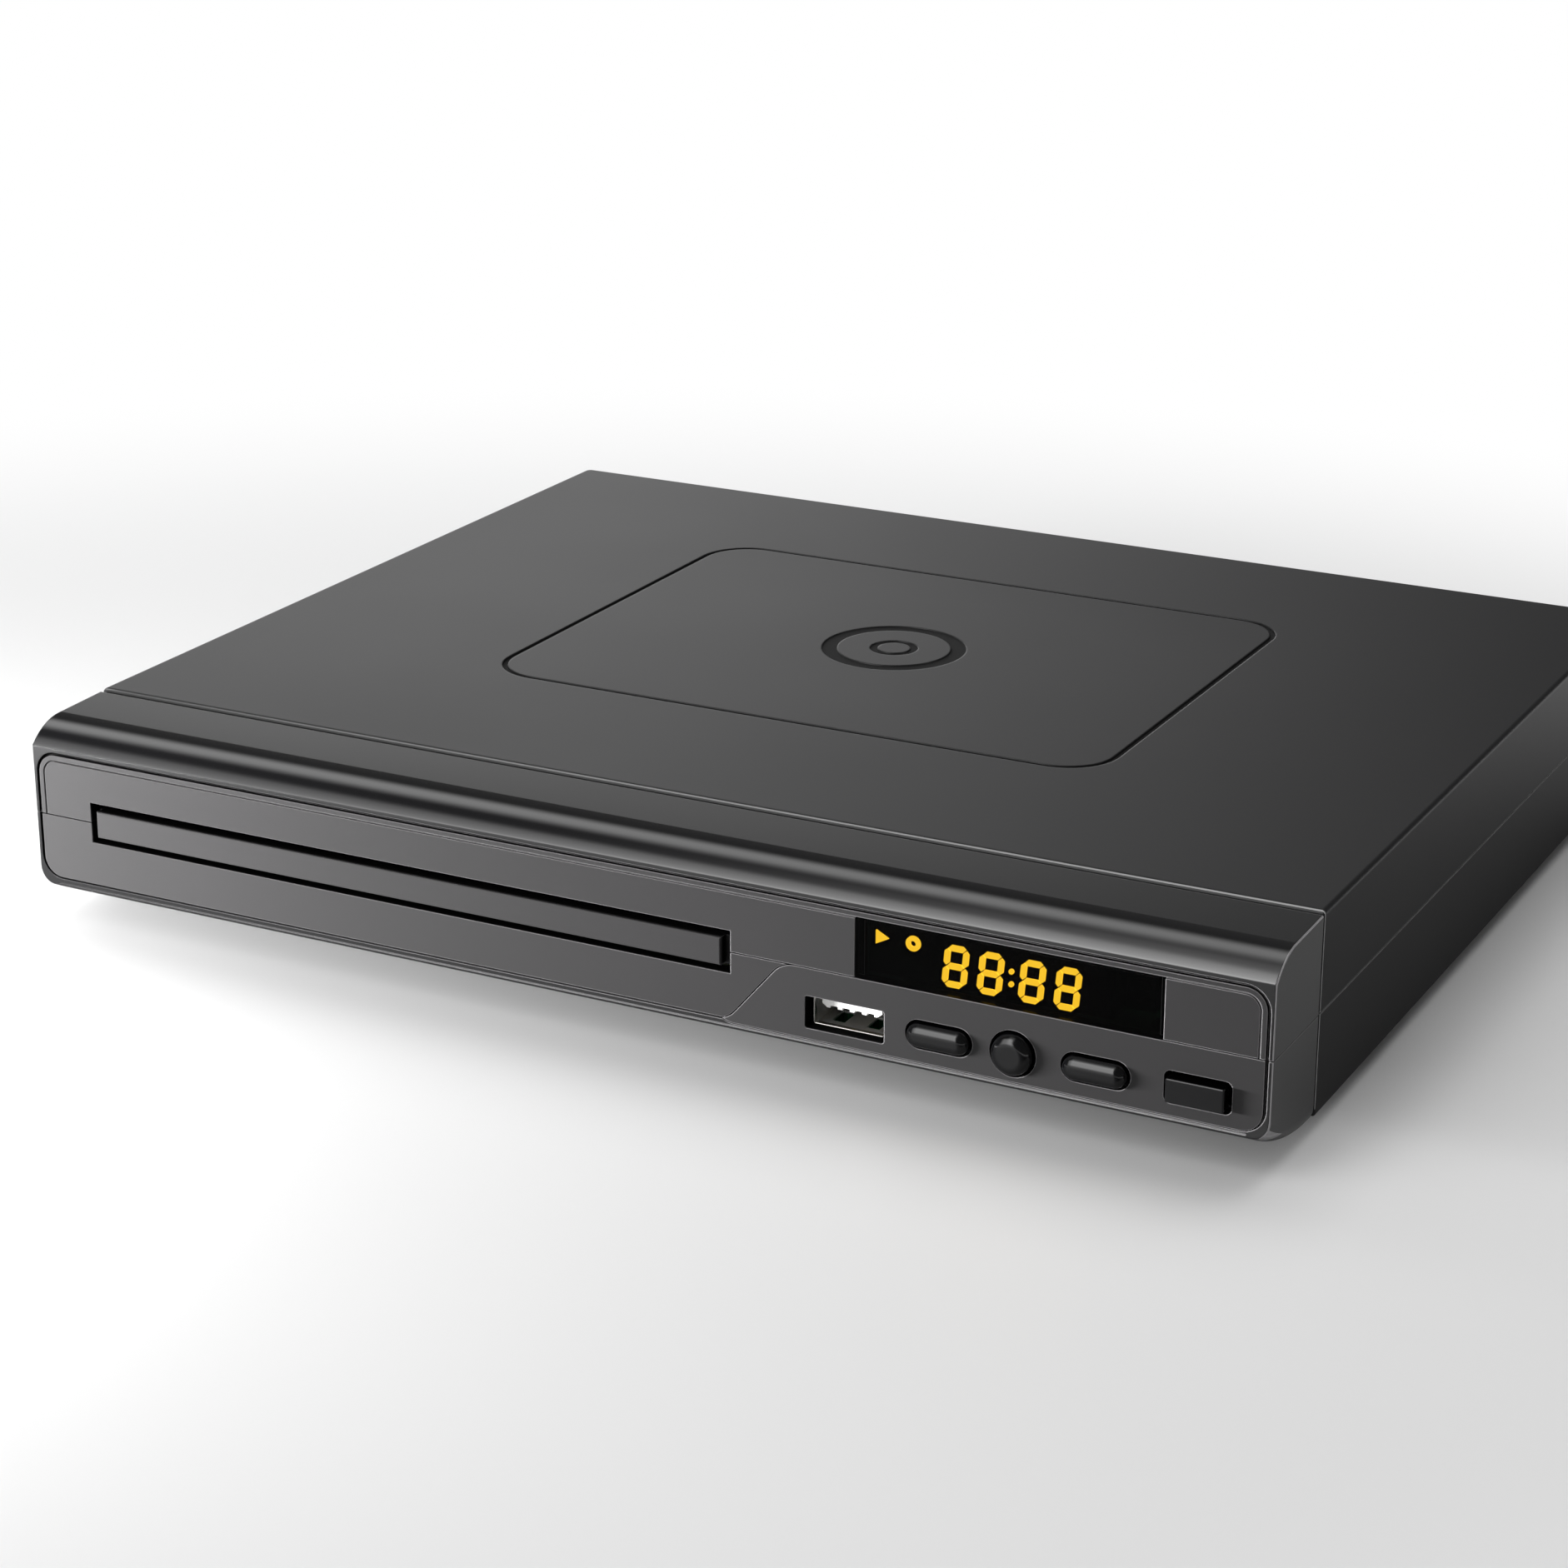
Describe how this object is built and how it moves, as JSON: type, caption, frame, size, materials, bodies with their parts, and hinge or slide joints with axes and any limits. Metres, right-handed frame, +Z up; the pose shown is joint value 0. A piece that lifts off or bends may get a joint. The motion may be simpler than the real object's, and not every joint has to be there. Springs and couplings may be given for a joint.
{
  "type": "disc player",
  "caption": "Low flat disc player with a sliding tray, slanted control panel, push buttons, lit clock display, a USB socket in front and sockets at the rear.",
  "frame": {"origin": "centre of the bounding box, at the underside of the feet", "axes": "+X to the right as seen from the front, +Y from the front panel to the rear, +Z up"},
  "size_m": [0.24, 0.21, 0.039],
  "materials": {
    "case": "satin",
    "gloss": "gloss",
    "panel": "gloss",
    "window": "gloss",
    "metal": "satin",
    "brass": "satin",
    "board": "satin",
    "chip": "matte",
    "black": "matte",
    "white": "satin",
    "amber": "lit",
    "yellow": "satin",
    "red": "satin",
    "rubber": "matte",
    "gear": "satin",
    "glass": "gloss"
  },
  "bodies": {
    "housing": {"top_cover": "case", "bottom_case": "case", "front_lip": "gloss", "front_skirt": "gloss", "upper_fascia": "panel", "lower_fascia": "panel", "control_panel": "panel", "display_window": "window", "rear_panel": "metal", "feet": "rubber", "case_screws": "metal", "board_screws": "metal", "front_board": "board", "tact_switches": "black", "power_switch": "black", "display_module": "black", "display_digits": "amber", "ir_receiver": "black", "usb_shell": "metal", "usb_tongue": "white", "usb_contacts": "brass", "loading_motor": "metal", "drive_belt": "rubber", "loader_chassis": "black", "clamp_bridge": "metal", "main_board": "board", "board_chips": "chip", "board_capacitors": "chip", "power_board": "board", "transformer": "yellow", "mains_capacitor": "chip", "av_block": "black", "jack_barrels": "metal", "jack_video": "yellow", "jack_left": "white", "jack_right": "red", "mains_inlet": "black", "inlet_pins": "metal", "hdmi_socket": "metal", "front_ribbon": "white"},
    "tray": {"tray": "black", "tray_door": "panel"},
    "drive_gear": {"drive_gear": "gear"},
    "pulley_gear": {"pulley_gear": "gear"},
    "motor_pulley": {"motor_pulley": "gear"},
    "cam_slider": {"cam_slider": "gear"},
    "traverse": {"traverse_frame": "metal", "spindle_motor": "metal", "guide_rods": "metal", "feed_motor": "metal"},
    "turntable": {"turntable": "black"},
    "sled": {"sled": "black", "lens": "glass"},
    "lead_screw": {"lead_screw": "metal"},
    "clamper": {"clamper": "black", "clamper_yoke": "metal"},
    "button_left": {"button_left": "gloss"},
    "button_round": {"button_round": "gloss"},
    "button_right": {"button_right": "gloss"},
    "power_button": {"power_button": "gloss"}
  },
  "joints": [
    {"name": "tray_slide", "type": "slide", "parent": "housing", "child": "tray", "axis": [0, -1, 0], "range_m": [0, 0.136]},
    {"name": "drive_gear_spin", "type": "hinge", "parent": "housing", "child": "drive_gear", "pos_m": [0.011, -0.08305, 0.013], "axis": [0, 0, 1], "continuous": true},
    {"name": "pulley_gear_spin", "type": "hinge", "parent": "housing", "child": "pulley_gear", "pos_m": [-0.00591, -0.07689, 0.013], "axis": [0, 0, 1], "continuous": true},
    {"name": "motor_pulley_spin", "type": "hinge", "parent": "housing", "child": "motor_pulley", "pos_m": [-0.0635, -0.07905, 0.015], "axis": [0, 0, 1], "continuous": true},
    {"name": "traverse_lift", "type": "hinge", "parent": "housing", "child": "traverse", "pos_m": [-0.0415, 0.05495, 0.013], "axis": [1, 0, 0], "range_deg": [0, 2.95]},
    {"name": "cam_slide", "type": "slide", "parent": "housing", "child": "cam_slider", "axis": [1, 0, 0], "range_m": [0, 0.016]},
    {"name": "turntable_spin", "type": "hinge", "parent": "traverse", "child": "turntable", "pos_m": [-0.0415, -0.03105, 0.0185], "axis": [0, 0, 1], "continuous": true},
    {"name": "sled_slide", "type": "slide", "parent": "traverse", "child": "sled", "axis": [0, 1, 0], "range_m": [0, 0.035]},
    {"name": "lead_screw_spin", "type": "hinge", "parent": "traverse", "child": "lead_screw", "pos_m": [-0.0155, 0.00695, 0.0143], "axis": [0, 1, 0], "continuous": true},
    {"name": "clamper_spin", "type": "hinge", "parent": "housing", "child": "clamper", "pos_m": [-0.0415, -0.03105, 0.027], "axis": [0, 0, 1], "continuous": true},
    {"name": "left_press", "type": "slide", "parent": "housing", "child": "button_left", "axis": [0, 1, 0], "range_m": [0, 0.0005], "stiffness_N_per_m": 400},
    {"name": "round_press", "type": "slide", "parent": "housing", "child": "button_round", "axis": [0, 1, 0], "range_m": [0, 0.0005], "stiffness_N_per_m": 400},
    {"name": "right_press", "type": "slide", "parent": "housing", "child": "button_right", "axis": [0, 1, 0], "range_m": [0, 0.0005], "stiffness_N_per_m": 400},
    {"name": "power_press", "type": "slide", "parent": "housing", "child": "power_button", "axis": [0, 1, 0], "range_m": [0, 0.0015], "stiffness_N_per_m": 400}
  ],
  "couplings": [
    {"joint": "drive_gear_spin", "follows": "tray_slide", "rad_per_m": -200},
    {"joint": "pulley_gear_spin", "follows": "tray_slide", "rad_per_m": 400},
    {"joint": "motor_pulley_spin", "follows": "tray_slide", "rad_per_m": 1200},
    {"joint": "cam_slide", "follows": "traverse_lift", "m_per_rad": 0.31075},
    {"joint": "lead_screw_spin", "follows": "sled_slide", "rad_per_m": 2094.4}
  ]
}
